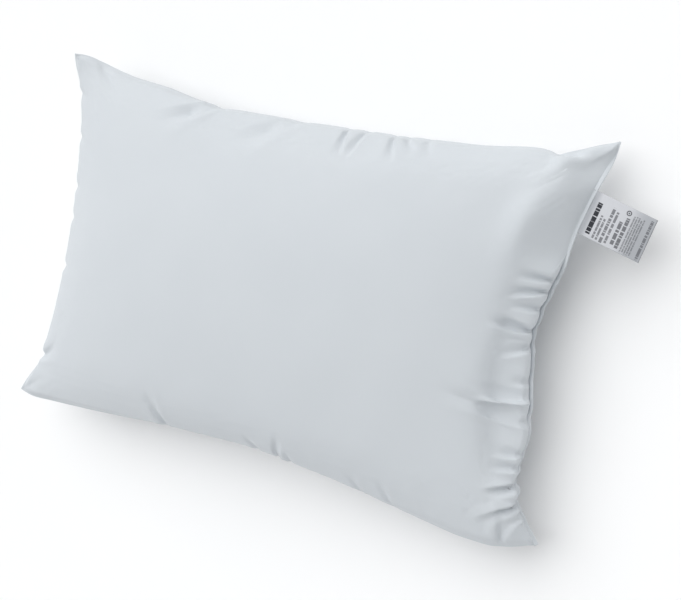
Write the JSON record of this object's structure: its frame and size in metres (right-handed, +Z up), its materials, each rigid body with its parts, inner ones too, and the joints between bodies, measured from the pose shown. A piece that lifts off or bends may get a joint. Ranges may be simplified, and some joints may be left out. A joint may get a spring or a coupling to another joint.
{
  "type": "bed pillow",
  "caption": "Rectangular fibre-filled bed pillow in plain white ticking, with a topstitched closing seam on one short side and a folded care label that flaps on it.",
  "frame": {"origin": "centre of the flat patch of the back that the pillow rests on", "axes": "+X along the pillow to the short side with the closing seam and the care label, +Y across it, +Z up out of the front"},
  "size_m": [0.8035, 0.47, 0.168],
  "materials": {
    "ticking": "fine plain-weave cotton or microfibre ticking, matt, bluish white",
    "fibre": "loose white polyester fibre",
    "thread": "white polyester sewing thread",
    "satin": "white label satin with a soft sheen and printed grey bars"
  },
  "bodies": {
    "pillow": {"front_panel": "ticking", "back_panel": "ticking", "fibre_fill": "fibre", "closing_needle_thread": "thread", "closing_bobbin_thread": "thread", "seam_needle_thread": "thread", "seam_bobbin_thread": "thread", "care_label_tail": "satin"},
    "label": {"care_label": "satin"}
  },
  "joints": [
    {"name": "label_flap", "type": "hinge", "parent": "pillow", "child": "label", "pos_m": [0.35316, 0.15688, 0.07], "axis": [0.2378, 0.9713, 0], "range_deg": [-115, 115]}
  ]
}
